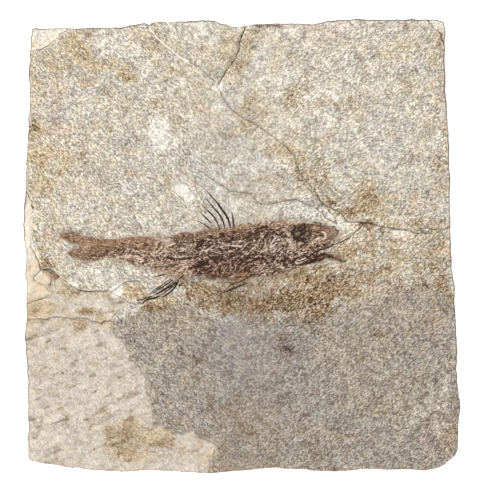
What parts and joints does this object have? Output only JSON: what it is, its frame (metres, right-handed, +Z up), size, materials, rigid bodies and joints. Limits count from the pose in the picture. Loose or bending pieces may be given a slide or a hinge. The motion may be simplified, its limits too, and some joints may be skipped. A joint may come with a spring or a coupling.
{
  "type": "fossil fish slab",
  "caption": "Split slab of pale limestone with a broken edge, a spalled corner and hairline cracks, with a flattened fossil fish on its upper face; a display specimen that lies flat.",
  "frame": {"origin": "under the middle of the slab, on its flat underside", "axes": "+Z up out of the fossil face, +X along the fish from tail to snout, +Y from its belly to its back"},
  "size_m": [0.1599, 0.166, 0.0131],
  "materials": {
    "limestone": "split along the bedding, dry and matt, fine mottled grain with ochre stains",
    "fossil_bone": "brown mineral film and bone, slightly satin, with fine ray and rib lines"
  },
  "bodies": {
    "root": {"limestone_slab": "limestone", "fossil_fish": "fossil_bone"}
  },
  "joints": []
}
